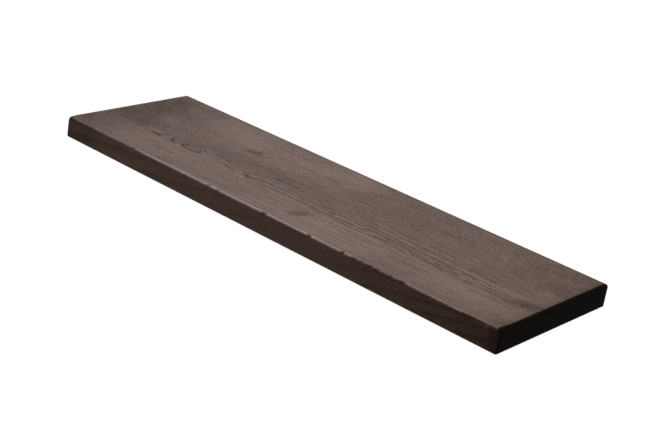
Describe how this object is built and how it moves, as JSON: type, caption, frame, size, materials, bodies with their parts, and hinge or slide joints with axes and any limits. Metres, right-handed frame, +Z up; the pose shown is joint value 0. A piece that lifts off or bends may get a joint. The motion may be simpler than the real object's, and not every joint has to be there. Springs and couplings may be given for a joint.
{
  "type": "stair tread",
  "caption": "Straight solid-wood stair tread: a flat-sawn, dark-stained plank with softly eased edges that rests on stringers or brackets and is stepped on.",
  "frame": {"origin": "middle of the underside, which lies on the floor", "axes": "+X along the tread's length, +Y from the nosing (front edge) to the back edge, +Z up through the thickness to the walking surface"},
  "size_m": [1, 0.3, 0.04],
  "materials": {
    "stained_wood": "dark walnut stain on brushed, flat-sawn softwood with a matte oil, the arrises rubbed pale at the nosing"
  },
  "bodies": {
    "root": {"tread": "stained_wood"}
  },
  "joints": []
}
